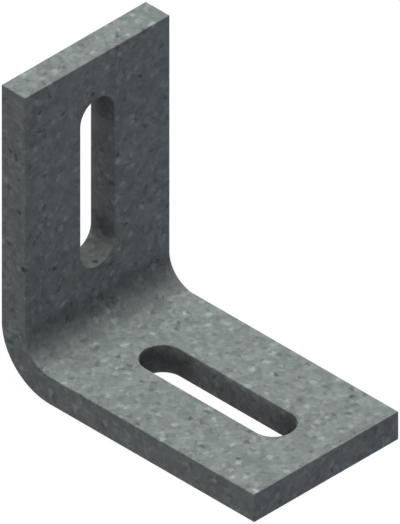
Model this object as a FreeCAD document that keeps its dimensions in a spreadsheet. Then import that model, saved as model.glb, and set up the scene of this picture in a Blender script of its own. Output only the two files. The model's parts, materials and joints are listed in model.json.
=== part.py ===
import FreeCAD, Part
import math
import os

import Sketcher
from FreeCAD import Vector

# Strut angle fitting: a length of flat bar folded once to a right angle, with one long
# slot punched through each leg and every edge just broken.
#
# The base leg lies on the ground and runs towards -Y. The upright leg stands at its +Y
# end, and the bar's width runs along X. The origin is on the ground, under the middle
# of the box that holds the fitting.

# Driving dimensions in millimetres: name, value and what it measures.
SIZES = [
    ("bar_width", 60, "width of the flat bar"),
    ("bar_thickness", 10, "thickness of the flat bar"),
    ("inner_bend_radius", 10, "radius on the inside of the fold"),
    ("base_length", 105, "base leg, from the back of the upright to the free end"),
    ("upright_height", 105, "upright leg, from the underside to the free end"),
    ("slot_width", 14, "both slots, side to side: clears a 12 mm bolt"),
    ("base_slot_length", 60, "base slot, end to end"),
    ("base_slot_margin", 15, "metal between the base slot and the free end"),
    ("upright_slot_length", 60, "upright slot, end to end"),
    ("upright_slot_margin", 15, "metal between the upright slot and the free end"),
    ("bar_edge_break", 0.3, "rounding of the bar's own edges and sheared ends"),
    ("slot_edge_break", 0.3, "rounding of the slots' rims"),
]

# Two faces whose normals differ by less than this meet along a tangent line.
TANGENT_ANGLE = math.radians(5)

# A sketch's own origin, as a constraint takes it.
SKETCH_ORIGIN = (-1, 1)


def write_sizes(doc):
    """The sheet of driving dimensions, one named cell to a line."""
    sheet = doc.addObject("Spreadsheet::Sheet", "Sizes")
    for row, (alias, value, note) in enumerate(SIZES, start=1):
        sheet.set(f"A{row}", alias)
        sheet.set(f"B{row}", str(value))
        sheet.set(f"C{row}", note)
        sheet.setAlias(f"B{row}", alias)
    doc.recompute()
    return sheet


def new_sketch(body, name, plane_role):
    """An empty sketch on one of the body's own origin planes."""
    plane = next(p for p in body.Origin.OriginFeatures if p.Role == plane_role)
    sketch = body.newObject("Sketcher::SketchObject", name)
    sketch.AttachmentSupport = [(plane, "")]
    sketch.MapMode = "FlatFace"
    return sketch


def set_size(sketch, name, expression, kind, *where):
    """A named constraint whose value follows an expression on the sheet."""
    value = float(sketch.evalExpression(expression))
    index = sketch.addConstraint(Sketcher.Constraint(kind, *where, value))
    sketch.renameConstraint(index, name)
    sketch.setExpression(f"Constraints.{name}", expression)


def start_of(element):
    """The first point of a line or arc, as a constraint takes it."""
    return element, 1


def end_of(element):
    return element, 2


def centre_of(element):
    return element, 3


def join(sketch, kind, first, second):
    """Join two points or line them up, or join two curves end to end at those points."""
    sketch.addConstraint(Sketcher.Constraint(kind, *first, *second))


def line(start, end):
    return Part.LineSegment(Vector(*start, 0), Vector(*end, 0))


def arc(centre, radius, from_angle, to_angle):
    """An arc that runs anticlockwise between two angles in degrees."""
    circle = Part.Circle(Vector(*centre, 0), Vector(0, 0, 1), radius)
    return Part.ArcOfCircle(circle, math.radians(from_angle), math.radians(to_angle))


def draw_folded_profile(body, sizes):
    """The folded bar seen from its side: two legs joined by concentric arcs."""
    sketch = new_sketch(body, "FoldedProfile", "YZ_Plane")
    front = -sizes.base_length / 2
    back = sizes.base_length / 2
    top = sizes.upright_height
    thickness = sizes.bar_thickness
    outer_radius = sizes.inner_bend_radius + thickness
    fold = (back - outer_radius, outer_radius)

    underside = sketch.addGeometry(line((front, 0), (fold[0], 0)))
    outer_bend = sketch.addGeometry(arc(fold, outer_radius, -90, 0))
    back_face = sketch.addGeometry(line((back, fold[1]), (back, top)))
    top_end = sketch.addGeometry(line((back, top), (back - thickness, top)))
    inner_face = sketch.addGeometry(line((back - thickness, top), (back - thickness, fold[1])))
    inner_bend = sketch.addGeometry(arc(fold, sizes.inner_bend_radius, -90, 0))
    base_top = sketch.addGeometry(line((fold[0], thickness), (front, thickness)))
    front_end = sketch.addGeometry(line((front, thickness), (front, 0)))

    join(sketch, "Tangent", end_of(underside), start_of(outer_bend))
    join(sketch, "Tangent", end_of(outer_bend), start_of(back_face))
    join(sketch, "Coincident", end_of(back_face), start_of(top_end))
    join(sketch, "Coincident", end_of(top_end), start_of(inner_face))
    join(sketch, "Tangent", end_of(inner_face), end_of(inner_bend))
    join(sketch, "Tangent", start_of(inner_bend), start_of(base_top))
    join(sketch, "Coincident", end_of(base_top), start_of(front_end))
    join(sketch, "Coincident", end_of(front_end), start_of(underside))
    join(sketch, "Coincident", centre_of(outer_bend), centre_of(inner_bend))
    for level in (underside, top_end, base_top):
        sketch.addConstraint(Sketcher.Constraint("Horizontal", level))
    for upright in (back_face, inner_face, front_end):
        sketch.addConstraint(Sketcher.Constraint("Vertical", upright))

    join(sketch, "Horizontal", SKETCH_ORIGIN, start_of(underside))
    set_size(sketch, "half_length", "Sizes.base_length / 2",
             "DistanceX", *start_of(underside), *SKETCH_ORIGIN)
    set_size(sketch, "base_length", "Sizes.base_length",
             "DistanceX", *start_of(underside), *start_of(back_face))
    set_size(sketch, "upright_height", "Sizes.upright_height",
             "DistanceY", *start_of(underside), *end_of(back_face))
    set_size(sketch, "thickness", "Sizes.bar_thickness",
             "DistanceY", *end_of(front_end), *start_of(front_end))
    set_size(sketch, "inner_radius", "Sizes.inner_bend_radius", "Radius", inner_bend)
    return sketch


def draw_slot(body, name, plane_role, half_width, far_centre, near_centre):
    """A slot on the bar's middle line, and the elements that its sizes go on.

    far_centre and near_centre are the heights in the sketch of the round ends' centres,
    the far one being the one nearer to the leg's free end.
    """
    sketch = new_sketch(body, name, plane_role)
    high, low = max(far_centre, near_centre), min(far_centre, near_centre)
    top_round = sketch.addGeometry(arc((0, high), half_width, 0, 180))
    left_side = sketch.addGeometry(line((-half_width, high), (-half_width, low)))
    low_round = sketch.addGeometry(arc((0, low), half_width, 180, 360))
    right_side = sketch.addGeometry(line((half_width, low), (half_width, high)))

    join(sketch, "Tangent", end_of(top_round), start_of(left_side))
    join(sketch, "Tangent", end_of(left_side), start_of(low_round))
    join(sketch, "Tangent", end_of(low_round), start_of(right_side))
    join(sketch, "Tangent", end_of(right_side), start_of(top_round))
    sketch.addConstraint(Sketcher.Constraint("Equal", top_round, low_round))
    sketch.addConstraint(Sketcher.Constraint("Vertical", left_side))
    join(sketch, "Vertical", SKETCH_ORIGIN, centre_of(top_round))
    set_size(sketch, "half_width", "Sizes.slot_width / 2", "Radius", top_round)
    return sketch, top_round, low_round


def draw_base_slot(body, sizes):
    """The base leg's slot, seen from above, its margin measured from the -Y end."""
    half_width = sizes.slot_width / 2
    far = -sizes.base_length / 2 + sizes.base_slot_margin + half_width
    near = far + sizes.base_slot_length - sizes.slot_width
    sketch, top_round, low_round = draw_slot(
        body, "BaseSlotOutline", "XY_Plane", half_width, far, near)
    set_size(sketch, "between_centres", "Sizes.base_slot_length - Sizes.slot_width",
             "DistanceY", *centre_of(low_round), *centre_of(top_round))
    set_size(sketch, "far_centre",
             "Sizes.base_length / 2 - Sizes.base_slot_margin - Sizes.slot_width / 2",
             "DistanceY", *centre_of(low_round), *SKETCH_ORIGIN)
    return sketch


def draw_upright_slot(body, sizes):
    """The upright's slot, seen from the front, its margin measured from the top end."""
    half_width = sizes.slot_width / 2
    far = sizes.upright_height - sizes.upright_slot_margin - half_width
    near = far - sizes.upright_slot_length + sizes.slot_width
    sketch, top_round, low_round = draw_slot(
        body, "UprightSlotOutline", "XZ_Plane", half_width, far, near)
    set_size(sketch, "between_centres", "Sizes.upright_slot_length - Sizes.slot_width",
             "DistanceY", *centre_of(low_round), *centre_of(top_round))
    set_size(sketch, "far_centre",
             "Sizes.upright_height - Sizes.upright_slot_margin - Sizes.slot_width / 2",
             "DistanceY", *SKETCH_ORIGIN, *centre_of(top_round))
    return sketch


def fold_bar(body, sizes):
    """The plain folded bar, even on both sides of its middle."""
    pad = body.newObject("PartDesign::Pad", "FoldedBar")
    pad.Profile = draw_folded_profile(body, sizes)
    pad.SideType = "Symmetric"
    pad.setExpression("Length", "Sizes.bar_width")
    return pad


def punch(body, name, outline, towards_normal):
    """A slot punched right through the leg that stands on one side of the outline."""
    before = body.Shape.Volume
    pocket = body.newObject("PartDesign::Pocket", name)
    pocket.Profile = outline
    pocket.Type = "ThroughAll"
    pocket.Reversed = towards_normal
    body.Document.recompute()
    if body.Shape.Volume >= before:
        raise RuntimeError(f"{name} took no metal away")
    return pocket


def is_corner(shape, edge):
    """Whether an edge is a corner, not the line where a flat runs on into a curve."""
    middle = edge.valueAt((edge.FirstParameter + edge.LastParameter) / 2)
    normals = []
    for face in shape.ancestorsOfType(edge, Part.Face):
        normals.append(face.normalAt(*face.Surface.parameter(middle)))
    return len(normals) == 2 and normals[0].getAngle(normals[1]) > TANGENT_ANGLE


def is_on_rim(edge, sizes):
    """Whether an edge lies inside the bar's width, where only the slots have edges."""
    reach = max(abs(vertex.X) for vertex in edge.Vertexes)
    return reach < (sizes.bar_width + sizes.slot_width) / 4


def break_edges(body, base, name, size, wanted):
    """Round the corner edges of base that the test called wanted picks out."""
    names = []
    for number, edge in enumerate(base.Shape.Edges, start=1):
        if is_corner(base.Shape, edge) and wanted(edge):
            names.append(f"Edge{number}")
    fillet = body.newObject("PartDesign::Fillet", name)
    fillet.Base = (base, names)
    fillet.setExpression("Radius", f"Sizes.{size}")
    body.Document.recompute()
    return fillet


def build_fitting(doc, sizes):
    """The fitting in the order it is made: fold, punch, then break the edges."""
    body = doc.addObject("PartDesign::Body", "AngleFitting")
    body.Label = "angle_fitting"
    fold_bar(body, sizes)
    doc.recompute()
    punch(body, "BaseSlot", draw_base_slot(body, sizes), towards_normal=True)
    punched = punch(body, "UprightSlot", draw_upright_slot(body, sizes), towards_normal=False)
    rims = break_edges(body, punched, "SlotRims", "slot_edge_break",
                       lambda edge: is_on_rim(edge, sizes))
    break_edges(body, rims, "BarEdges", "bar_edge_break",
                lambda edge: not is_on_rim(edge, sizes))
    body.Placement = FreeCAD.Placement()
    doc.recompute()
    return body


def check(doc, parts):
    """Stop if any object failed, or any part has no sound solid."""
    for item in doc.Objects:
        if "Invalid" in item.State or "Error" in item.State:
            raise RuntimeError(f"{item.Name} failed: {item.State}")
    for part in parts:
        if part.Shape.isNull() or not part.Shape.isValid():
            raise RuntimeError(f"{part.Label} has no valid shape")


def main():
    os.makedirs("parts", exist_ok=True)
    doc = FreeCAD.newDocument("StrutAngleFitting")
    sizes = write_sizes(doc)
    parts = [build_fitting(doc, sizes)]
    check(doc, parts)
    for part in parts:
        part.Shape.exportStep(f"parts/{part.Label}.step")


main()
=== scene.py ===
import json
import math

import bpy
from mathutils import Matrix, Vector


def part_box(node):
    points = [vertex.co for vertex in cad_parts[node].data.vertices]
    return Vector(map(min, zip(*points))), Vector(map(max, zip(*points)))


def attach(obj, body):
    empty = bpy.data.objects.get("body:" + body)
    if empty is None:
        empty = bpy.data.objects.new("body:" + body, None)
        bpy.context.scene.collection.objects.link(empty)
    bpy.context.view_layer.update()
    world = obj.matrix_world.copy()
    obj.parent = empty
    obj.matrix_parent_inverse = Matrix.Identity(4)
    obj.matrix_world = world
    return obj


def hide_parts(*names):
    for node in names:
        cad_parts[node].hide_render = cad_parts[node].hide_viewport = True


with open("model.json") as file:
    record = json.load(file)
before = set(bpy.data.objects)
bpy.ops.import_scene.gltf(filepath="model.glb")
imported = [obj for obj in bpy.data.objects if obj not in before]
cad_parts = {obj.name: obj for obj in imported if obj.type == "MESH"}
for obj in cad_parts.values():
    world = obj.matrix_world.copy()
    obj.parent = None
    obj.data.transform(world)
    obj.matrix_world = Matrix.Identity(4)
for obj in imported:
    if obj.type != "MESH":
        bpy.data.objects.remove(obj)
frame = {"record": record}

# A strut angle fitting: one flat bar, folded to a right angle and slotted in both legs,
# with a hot-dip zinc coat. The base leg runs towards -Y and the upright stands at +Y.

MM = 0.001
# A Mix node's sockets for colours, by number, as those for plain numbers share their names.
COLOUR_A, COLOUR_B, MIXED_COLOUR = 6, 7, 2

NODE = "angle_fitting"
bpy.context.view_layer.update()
LOW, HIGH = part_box(NODE)
MOUNTS = {mount["name"]: mount for mount in frame["record"]["mounts"]}

BAR_THICKNESS = 10 * MM
INNER_BEND_RADIUS = 10 * MM
EDGE_BREAK = 0.3 * MM
# Edges that turn by more than this many degrees are broken, and not the fold's own flats.
SHARP_ANGLE = 30
# The most that Weighted Normal allows: flat faces shade flat right up to their edges.
FLAT_FACE_WEIGHT = 100

# Flats that stand for the round stretches: each is under a hundredth of a millimetre deep.
BEND_STEPS = 32
ROUND_END_STEPS = 64
EDGE_STEPS = 3
# The punch goes through the bar and half its thickness out on both sides.
PUNCH_DEPTH_IN_BARS = 2.0

PHOTO_PIXELS = (400, 524)
PHOTO_PIXELS_PER_MM = 3.406
VIEW_AZIMUTH = -45
VIEW_ELEVATION = math.degrees(math.atan(1 / math.sqrt(2)))
CAMERA_DISTANCE = 0.5

WHITE = "#FFFFFF"
# The light from below and all round is faintly violet, and the light on the left faintly
# pink, so that the upright faces look as little green as they do in the picture.
FILL_COLOUR = "#E5DFFF"
SIDE_COLOUR = "#FFF2FA"
FLOOR_SIZE = 4.0
FLOOR_DROP = 0.2 * MM
# The floor is paper whose own grey takes the fitting's shadow as faintly as in the picture,
# and whose glow makes it white.
FLOOR_COLOUR = "#808080"
# How strongly the floor glows, and the studio behind it, as the camera sees them and as the
# metal does. White all round would light each side of the metal alike, but in the picture the
# upright faces are far darker than the top, so the metal sees both of them dimmer.
FLOOR_GLOW_SEEN = 0.83
FLOOR_GLOW_IN_METAL = 0.06
STUDIO_SEEN = 1.0
STUDIO_IN_METAL = 0.24

# Broad lamps, matched to the picture's grey on each face and round the fold. Only the one
# overhead casts a shadow, the faint one on the floor: the picture shows no other.
LAMP_SPREAD = 60
# Name, azimuth, elevation, strength, whether it casts a shadow, and colour.
LAMPS = [
    ("back", 135, 45, 1.01, False, WHITE),
    ("front", 45, 45, 0.35, False, WHITE),
    ("right", 90, 45, 0.3, False, WHITE),
    ("left", 225, 30, 0.54, False, SIDE_COLOUR),
    ("side", 270, 30, 0.74, False, SIDE_COLOUR),
    ("bounce", 45, -60, 0.21, False, FILL_COLOUR),
    ("overhead", 0, 90, 0.3, True, WHITE),
]

# Hot-dip zinc on thick bar. Its crystals are a millimetre to five across, with flat sides and
# ragged edges, and every size here is a real one that the picture shows too.
# The two greys of the zinc, and the size of the patches in which one turns to the other.
ZINC_COOL = "#8D9892"
ZINC_WARM = "#8F9791"
PATCH_SIZE = 5.0 * MM
# The noise at which a patch is all cool, and all warm.
PATCH_LIMITS = (0.35, 0.65)
# How many finer layers of noise lie on the first, in the patches and in everything else.
PATCH_LAYERS = 1
FINE_LAYERS = 2
# Over what distance the crystals' edges wander, and how far.
RAGGED_SIZE = 1.2 * MM
RAGGED_REACH = 1.6 * MM
# A soft mottle, and crystals that meet edge to edge: each size, and how far it goes in tone.
MOTTLE = (1.6 * MM, 0.3)
CRYSTALS = [(2.8 * MM, 0.22), (1.3 * MM, 0.17)]
# What noise and random greys are on average.
EVEN = 0.5
# Marks scattered over the zinc, one to a cell as wide as spacing: crystals that stand proud,
# pits, where flux or dross kept the zinc off, and pale facets. The cells of each kind are
# turned their own way, by turn in radians. A mark reaches this far from its middle, along the
# corners, its edge is soft over softness times its reach either way, and it turns the tone by
# its depth.
# The crystals that stand proud get painted light and shade: one half lighter, the other darker.
PROUD_CRYSTAL = {"turn": 1, "spacing": 4.6 * MM, "reach": 2.0 * MM, "softness": 0.2}
PROUD_PAINTED_SHADE_DEPTH = 0.22
PIT = {"turn": 2, "spacing": 6.8 * MM, "reach": 1.35 * MM, "softness": 0.3}
PIT_DEPTH = 0.5
FACET = {"turn": 3, "spacing": 4.4 * MM, "reach": 1.5 * MM, "softness": 0.4}
FACET_DEPTH = 0.46
# A mark is eight-sided: this many cubes of its reach fill it.
CUBES_IN_MARK = 4 / 3
# How far the crystals stand proud and the pits sink.
RELIEF = 0.07 * MM
# Weathered zinc is rougher than a bright new coat, and evenly so: roughness falls a little
# from the dull places, at the first of these tones, to the pale ones, at the second.
METAL_ROUGHNESS = 0.65
ROUGHNESS_RANGE = 0.03
TONE_RANGE = (0.7, 1.3)
# Painted shade: in hollows, such as the slots and the inside of the fold, the zinc's colour is
# darkened as shade would fall there. It falls to the tone below of its own where a point sees
# less than HOLLOW_SKY of the sky past what lies within HOLLOW_REACH, and keeps all of it from
# OPEN_SKY on.
HOLLOW_REACH = 16 * MM
HOLLOW_SKY = 0.6
OPEN_SKY = 0.95
PAINTED_SHADE_TONE = 0.3
# How many looks round each point takes for that. Fewer leave grain, which darkens it.
HOLLOW_LOOKS = 64


def add(tree, kind, links=None, **settings):
    """Add a node. settings are its own properties, links its inputs by name or number.

    An input takes a plain value, a socket, a node (its first output) or a list of them.
    """
    node = tree.nodes.new(kind)
    for name, value in settings.items():
        setattr(node, name, value)
    for key, value in (links or {}).items():
        for source in value if isinstance(value, list) else [value]:
            if isinstance(source, bpy.types.Node):
                source = source.outputs[0]
            if isinstance(source, bpy.types.NodeSocket):
                tree.links.new(source, node.inputs[key])
            else:
                node.inputs[key].default_value = source
    return node


def place(name, data):
    """A new object in the scene, at the origin."""
    thing = bpy.data.objects.new(name, data)
    bpy.context.scene.collection.objects.link(thing)
    return thing


def bare_tree(owner):
    """The node tree of a material or a world, with nothing in it yet."""
    owner.use_nodes = True
    owner.node_tree.nodes.clear()
    return owner.node_tree


def linear(hex_colour):
    """An sRGB hex colour as linear red, green, blue and full alpha."""
    parts = [int(hex_colour[i:i + 2], 16) / 255 for i in (1, 3, 5)]
    return (*(c / 12.92 if c <= 0.04045 else ((c + 0.055) / 1.055) ** 2.4 for c in parts), 1)


def new_tree(name, numbers):
    """A geometry tree with a mesh in and out and the named numbers as inputs."""
    tree = bpy.data.node_groups.new(name, "GeometryNodeTree")
    tree.interface.new_socket("Geometry", in_out="OUTPUT", socket_type="NodeSocketGeometry")
    tree.interface.new_socket("Geometry", in_out="INPUT", socket_type="NodeSocketGeometry")
    for label in numbers:
        tree.interface.new_socket(label, in_out="INPUT", socket_type="NodeSocketFloat")
    return tree, add(tree, "NodeGroupInput").outputs


def punch_tree():
    """The slot's punch: two round pins and the straight between them, lying along Y."""
    tree, given = new_tree("Slot punch", ["Width", "Length", "Depth"])
    radius = add(tree, "ShaderNodeMath", {0: given["Width"], 1: 2.0}, operation="DIVIDE")
    between = add(tree, "ShaderNodeMath", {0: given["Length"], 1: given["Width"]},
                  operation="SUBTRACT")
    pin = add(tree, "GeometryNodeMeshCylinder",
              {"Vertices": ROUND_END_STEPS, "Radius": radius, "Depth": given["Depth"]})
    pins = []
    for side in (-0.5, 0.5):
        shift = add(tree, "ShaderNodeMath", {0: between, 1: side}, operation="MULTIPLY")
        where = add(tree, "ShaderNodeCombineXYZ", {"Y": shift})
        pins.append(add(tree, "GeometryNodeTransform", {"Geometry": pin, "Translation": where}))
    both = add(tree, "GeometryNodeJoinGeometry", {"Geometry": pins})
    hull = add(tree, "GeometryNodeConvexHull", {"Geometry": both})
    add(tree, "NodeGroupOutput", {"Geometry": hull})
    return tree


def fitting_tree(material):
    """The bar swept round its fold, with a slot punched through each leg."""
    tree, given = new_tree("Folded and slotted bar", [
        "Bar width", "Bar thickness", "Fold radius", "Slot width",
        "Base slot length", "Base slot centre", "Upright slot length", "Upright slot centre",
        "Upright middle"])
    path = add(tree, "GeometryNodeMeshToCurve", {"Mesh": given["Geometry"]})
    folded = add(tree, "GeometryNodeFilletCurve",
                 {"Curve": path, "Count": BEND_STEPS, "Radius": given["Fold radius"]},
                 mode="POLY")
    section = add(tree, "GeometryNodeCurvePrimitiveQuadrilateral",
                  {"Width": given["Bar width"], "Height": given["Bar thickness"]})
    bar = add(tree, "GeometryNodeCurveToMesh",
              {"Curve": folded, "Profile Curve": section, "Fill Caps": True})
    depth = add(tree, "ShaderNodeMath", {0: given["Bar thickness"], 1: PUNCH_DEPTH_IN_BARS},
                operation="MULTIPLY")
    middle = add(tree, "ShaderNodeMath", {0: given["Bar thickness"], 1: 2.0},
                 operation="DIVIDE")
    punch = punch_tree()
    base_place = add(tree, "ShaderNodeCombineXYZ", {"Y": given["Base slot centre"], "Z": middle})
    upright_place = add(tree, "ShaderNodeCombineXYZ",
                        {"Y": given["Upright middle"], "Z": given["Upright slot centre"]})
    cutters = []
    for length, where, tilt in (("Base slot length", base_place, 0),
                                ("Upright slot length", upright_place, math.pi / 2)):
        cutter = add(tree, "GeometryNodeGroup",
                     {"Width": given["Slot width"], "Length": given[length], "Depth": depth},
                     node_tree=punch)
        cutters.append(add(tree, "GeometryNodeTransform",
                           {"Geometry": cutter, "Translation": where, "Rotation": (tilt, 0, 0)}))
    slotted = add(tree, "GeometryNodeMeshBoolean", {"Mesh 1": bar, "Mesh 2": cutters},
                  operation="DIFFERENCE", solver="EXACT")
    real = add(tree, "GeometryNodeRealizeInstances", {"Geometry": slotted})
    coated = add(tree, "GeometryNodeSetMaterial", {"Geometry": real, "Material": material})
    add(tree, "NodeGroupOutput", {"Geometry": coated})
    return tree


def make_fitting(material):
    """The fitting as one plain mesh, from the middle line of its bar."""
    middle_y = HIGH.y - BAR_THICKNESS / 2
    middle_z = LOW.z + BAR_THICKNESS / 2
    line = [(0, LOW.y, middle_z), (0, middle_y, middle_z), (0, middle_y, HIGH.z)]
    mesh = bpy.data.meshes.new("bar_middle_line")
    mesh.from_pydata(line, [(0, 1), (1, 2)], [])
    blank = place("bar_blank", mesh)

    base_slot, upright_slot = MOUNTS["base_slot"], MOUNTS["upright_slot"]
    sizes = {
        "Bar width": HIGH.x - LOW.x,
        "Bar thickness": BAR_THICKNESS,
        "Fold radius": INNER_BEND_RADIUS + BAR_THICKNESS / 2,
        "Slot width": 2 * base_slot["dims"]["hole_r_mm"] * MM,
        "Base slot length": base_slot["dims"]["slot_length_mm"] * MM,
        "Base slot centre": base_slot["pos_m"][1],
        "Upright slot length": upright_slot["dims"]["slot_length_mm"] * MM,
        "Upright slot centre": upright_slot["pos_m"][2],
        "Upright middle": middle_y,
    }
    fold = blank.modifiers.new("Fold and punch", "NODES")
    fold.node_group = fitting_tree(material)
    sockets = {item.name: item.identifier for item in fold.node_group.interface.items_tree}
    for label, value in sizes.items():
        fold[sockets[label]] = value
    edges = blank.modifiers.new("Edge break", "BEVEL")
    edges.width = EDGE_BREAK
    edges.segments = EDGE_STEPS
    edges.limit_method = "ANGLE"
    edges.angle_limit = math.radians(SHARP_ANGLE)
    edges.use_clamp_overlap = False
    flats = blank.modifiers.new("Flat faces stay flat", "WEIGHTED_NORMAL")
    flats.weight = FLAT_FACE_WEIGHT

    shaped = blank.evaluated_get(bpy.context.evaluated_depsgraph_get())
    finished = bpy.data.meshes.new_from_object(shaped)
    bpy.data.objects.remove(blank)
    fitting = place("galvanised_fitting", finished)
    fitting.data.shade_smooth()
    return fitting


def zinc_marks(tree, where, turn, spacing, reach, softness):
    """Angular marks, one to a cell of the zinc, turned so that no two kinds line up.

    Gives how far inside its mark a point lies, from 0 to 1, where it lies from the mark's
    middle, and the mark's own random colour.
    """
    turned = add(tree, "ShaderNodeMapping",
                 {"Vector": where, "Rotation": (turn, 2 * turn, 3 * turn)})
    cells = add(tree, "ShaderNodeTexVoronoi", {"Vector": turned, "Scale": 1 / spacing},
                distance="MANHATTAN").outputs
    inside = add(tree, "ShaderNodeMapRange",
                 {"Value": cells["Distance"], "From Min": reach * (1 + softness) / spacing,
                  "From Max": reach * (1 - softness) / spacing},
                 interpolation_type="SMOOTHSTEP")
    offset = add(tree, "ShaderNodeVectorMath", {0: turned, 1: cells["Position"]},
                 operation="SUBTRACT")
    return inside, offset, cells["Color"]


def zinc_surface(tree, where):
    """The zinc's tone from place to place, painted light and shade on the proud crystals
    included, 1 on average, and its relief, from -1 to 1.
    """
    drift = add(tree, "ShaderNodeTexNoise",
                {"Vector": where, "Scale": 1 / RAGGED_SIZE, "Detail": FINE_LAYERS})
    ragged = add(tree, "ShaderNodeVectorMath",
                 {0: drift.outputs["Color"], 1: (RAGGED_REACH,) * 3, 2: where},
                 operation="MULTIPLY_ADD")
    size, depth = MOTTLE
    mottle = add(tree, "ShaderNodeTexNoise",
                 {"Vector": ragged, "Scale": 1 / size, "Detail": FINE_LAYERS})
    # Each layer of the tone: the node, what it is on average, and how far it turns the tone.
    layers = [(mottle, EVEN, depth)]
    for size, depth in CRYSTALS:
        cells = add(tree, "ShaderNodeTexVoronoi", {"Vector": ragged, "Scale": 1 / size})
        grey = add(tree, "ShaderNodeSeparateColor", {"Color": cells.outputs["Color"]})
        layers.append((grey, EVEN, depth))

    # Painted light and shade: each crystal that stands proud is painted lighter on one half and
    # darker on the other, besides its real relief.
    proud, offset, colour = zinc_marks(tree, ragged, **PROUD_CRYSTAL)
    tilt = add(tree, "ShaderNodeVectorMath", {0: colour, 1: (EVEN,) * 3},
               operation="SUBTRACT")
    along = add(tree, "ShaderNodeVectorMath", {0: offset, 1: tilt}, operation="DOT_PRODUCT")
    edge = PROUD_CRYSTAL["reach"] * PROUD_CRYSTAL["softness"]
    side = add(tree, "ShaderNodeMapRange",
               {"Value": along.outputs["Value"], "From Min": -edge, "From Max": edge,
                "To Min": -1, "To Max": 1}, interpolation_type="SMOOTHSTEP")
    painted_lit_and_shaded_sides = add(tree, "ShaderNodeMath", {0: side, 1: proud}, operation="MULTIPLY")
    layers.append((painted_lit_and_shaded_sides, 0, PROUD_PAINTED_SHADE_DEPTH))

    relief = proud
    for mark, depth in ((PIT, -PIT_DEPTH), (FACET, FACET_DEPTH)):
        inside, _, colour = zinc_marks(tree, ragged, **mark)
        strength = add(tree, "ShaderNodeSeparateColor", {"Color": colour})
        fleck = add(tree, "ShaderNodeMath", {0: inside, 1: strength}, operation="MULTIPLY")
        share = CUBES_IN_MARK * (mark["reach"] / mark["spacing"]) ** 3
        layers.append((fleck, share * EVEN, depth))
        if mark is PIT:
            relief = add(tree, "ShaderNodeMath", {0: relief, 1: fleck}, operation="SUBTRACT")

    tone = 1 - sum(mean * depth for _, mean, depth in layers)
    for layer, _, depth in layers:
        tone = add(tree, "ShaderNodeMath", {0: layer, 1: depth, 2: tone},
                   operation="MULTIPLY_ADD")
    return tone, relief


def galvanised_steel():
    """Hot-dip galvanised steel, out of the zinc bath and dulled by the weather.

    The eye sees a satin grey without shine: small crystals at slightly different greys, a few
    that stand proud with one half painted lighter and the other darker as painted light and
    shade, dark pits and pale facets.
    """
    material = bpy.data.materials.new("hot_dip_galvanised_steel")
    tree = bare_tree(material)
    where = add(tree, "ShaderNodeTexCoord").outputs["Object"]
    tone, relief = zinc_surface(tree, where)
    patches = add(tree, "ShaderNodeTexNoise",
                  {"Vector": where, "Scale": 1 / PATCH_SIZE, "Detail": PATCH_LAYERS})
    warmth = add(tree, "ShaderNodeMapRange",
                 {"Value": patches.outputs["Fac"], "From Min": PATCH_LIMITS[0],
                  "From Max": PATCH_LIMITS[1]})
    zinc = add(tree, "ShaderNodeMix",
               {"Factor": warmth, COLOUR_A: linear(ZINC_COOL), COLOUR_B: linear(ZINC_WARM)},
               data_type="RGBA")
    # Painted shade: the zinc's colour is darkened in hollows by how little sky each point sees.
    sky = add(tree, "ShaderNodeAmbientOcclusion", {"Distance": HOLLOW_REACH}, only_local=True,
              samples=HOLLOW_LOOKS)
    painted_hollow_shade = add(tree, "ShaderNodeMapRange",
                  {"Value": sky.outputs["AO"], "From Min": HOLLOW_SKY, "From Max": OPEN_SKY,
                   "To Min": PAINTED_SHADE_TONE, "To Max": 1.0})
    tone_with_painted_shade = add(tree, "ShaderNodeMath", {0: tone, 1: painted_hollow_shade}, operation="MULTIPLY")
    colour = add(tree, "ShaderNodeVectorMath",
                 {0: zinc.outputs[MIXED_COLOUR], "Scale": tone_with_painted_shade}, operation="SCALE")
    roughness = add(tree, "ShaderNodeMapRange",
                    {"Value": tone, "From Min": TONE_RANGE[0], "From Max": TONE_RANGE[1],
                     "To Min": METAL_ROUGHNESS + ROUGHNESS_RANGE,
                     "To Max": METAL_ROUGHNESS - ROUGHNESS_RANGE})
    bump = add(tree, "ShaderNodeBump", {"Height": relief, "Strength": 1.0, "Distance": RELIEF})
    shader = add(tree, "ShaderNodeBsdfPrincipled",
                 {"Base Color": colour, "Metallic": 1.0, "Roughness": roughness, "Normal": bump})
    add(tree, "ShaderNodeOutputMaterial", {"Surface": shader})
    return material


def direction(azimuth, elevation):
    """The way out from the fitting to an azimuth, from -Y round to +X, and an elevation."""
    a, e = math.radians(azimuth), math.radians(elevation)
    return Vector((math.sin(a) * math.cos(e), -math.cos(a) * math.cos(e), math.sin(e)))


def make_camera():
    """A camera with parallel lines of sight, as the picture is a true isometric view."""
    camera = place("camera", bpy.data.cameras.new("camera"))
    bpy.context.scene.camera = camera
    camera.data.type = "ORTHO"
    camera.data.ortho_scale = max(PHOTO_PIXELS) / PHOTO_PIXELS_PER_MM * MM
    back = direction(VIEW_AZIMUTH, VIEW_ELEVATION)
    camera.location = (LOW + HIGH) / 2 + back * CAMERA_DISTANCE
    camera.rotation_mode = "QUATERNION"
    camera.rotation_quaternion = (-back).to_track_quat("-Z", "Y")


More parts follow.
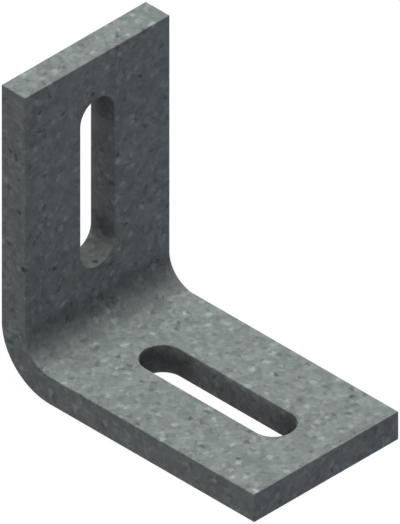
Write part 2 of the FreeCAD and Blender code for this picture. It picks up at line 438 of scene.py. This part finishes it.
def backdrop_light(tree, seen, in_metal, on_floor):
    """The colour and strength of the light that a backdrop gives off itself.

    It has one strength as the camera sees it, straight or through glass, one as metal mirrors
    it, and one for the light that falls on the floor.
    """
    path = add(tree, "ShaderNodeLightPath").outputs
    looked_at = add(tree, "ShaderNodeMath",
                    {0: path["Is Camera Ray"], 1: path["Is Transmission Ray"]},
                    operation="MAXIMUM")
    shed = add(tree, "ShaderNodeMapRange",
               {"Value": path["Is Glossy Ray"], "To Min": on_floor, "To Max": in_metal})
    strength = add(tree, "ShaderNodeMapRange",
                   {"Value": looked_at, "To Min": shed, "To Max": seen})
    tint = add(tree, "ShaderNodeMix",
               {"Factor": looked_at, COLOUR_A: linear(FILL_COLOUR), COLOUR_B: linear(WHITE)},
               data_type="RGBA")
    return {"Color": tint.outputs[MIXED_COLOUR], "Strength": strength}


def make_floor():
    """A plain white floor with the fitting's soft shadow, seen through from below."""
    edge, height = FLOOR_SIZE / 2, -FLOOR_DROP
    corners = [(-edge, -edge, height), (edge, -edge, height),
               (edge, edge, height), (-edge, edge, height)]
    mesh = bpy.data.meshes.new("floor")
    mesh.from_pydata(corners, [], [(0, 1, 2, 3)])
    floor = place("floor", mesh)
    material = bpy.data.materials.new("white_paper")
    tree = bare_tree(material)
    light = backdrop_light(tree, FLOOR_GLOW_SEEN, FLOOR_GLOW_IN_METAL, on_floor=0.0)
    glow = add(tree, "ShaderNodeEmission", light)
    paper = add(tree, "ShaderNodeBsdfDiffuse", {"Color": linear(FLOOR_COLOUR)})
    top = add(tree, "ShaderNodeAddShader", {0: glow, 1: paper})
    below = add(tree, "ShaderNodeBsdfTransparent")
    side = add(tree, "ShaderNodeNewGeometry").outputs["Backfacing"]
    surface = add(tree, "ShaderNodeMixShader", {0: side, 1: top, 2: below})
    add(tree, "ShaderNodeOutputMaterial", {"Surface": surface})
    mesh.materials.append(material)


def make_world():
    """A plain studio all round: dim and even on the fitting, white behind it."""
    world = bpy.data.worlds.new("studio")
    tree = bare_tree(world)
    light = backdrop_light(tree, STUDIO_SEEN, STUDIO_IN_METAL, on_floor=STUDIO_IN_METAL)
    sky = add(tree, "ShaderNodeBackground", light)
    add(tree, "ShaderNodeOutputWorld", {"Surface": sky})
    bpy.context.scene.world = world


def make_lamp(name, azimuth, elevation, strength, casts_shadow, colour):
    """A broad, far lamp that looks at the fitting from its azimuth and elevation."""
    lamp = place(name, bpy.data.lights.new(name, "SUN"))
    lamp.data.energy = strength
    lamp.data.color = linear(colour)[:3]
    lamp.data.angle = math.radians(LAMP_SPREAD)
    lamp.data.use_shadow = casts_shadow
    # Left on, this would still shade a lamp that casts no shadow wherever metal mirrors it.
    lamp.data.cycles.use_multiple_importance_sampling = casts_shadow
    outwards = direction(azimuth, elevation)
    lamp.rotation_mode = "QUATERNION"
    lamp.rotation_quaternion = outwards.to_track_quat("Z", "Y")
    lamp.location = outwards


bpy.context.scene.view_settings.view_transform = "Standard"
make_camera()
make_floor()
make_world()
for lamp in LAMPS:
    make_lamp(*lamp)
fitting = make_fitting(galvanised_steel())
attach(fitting, "root")
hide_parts(NODE)
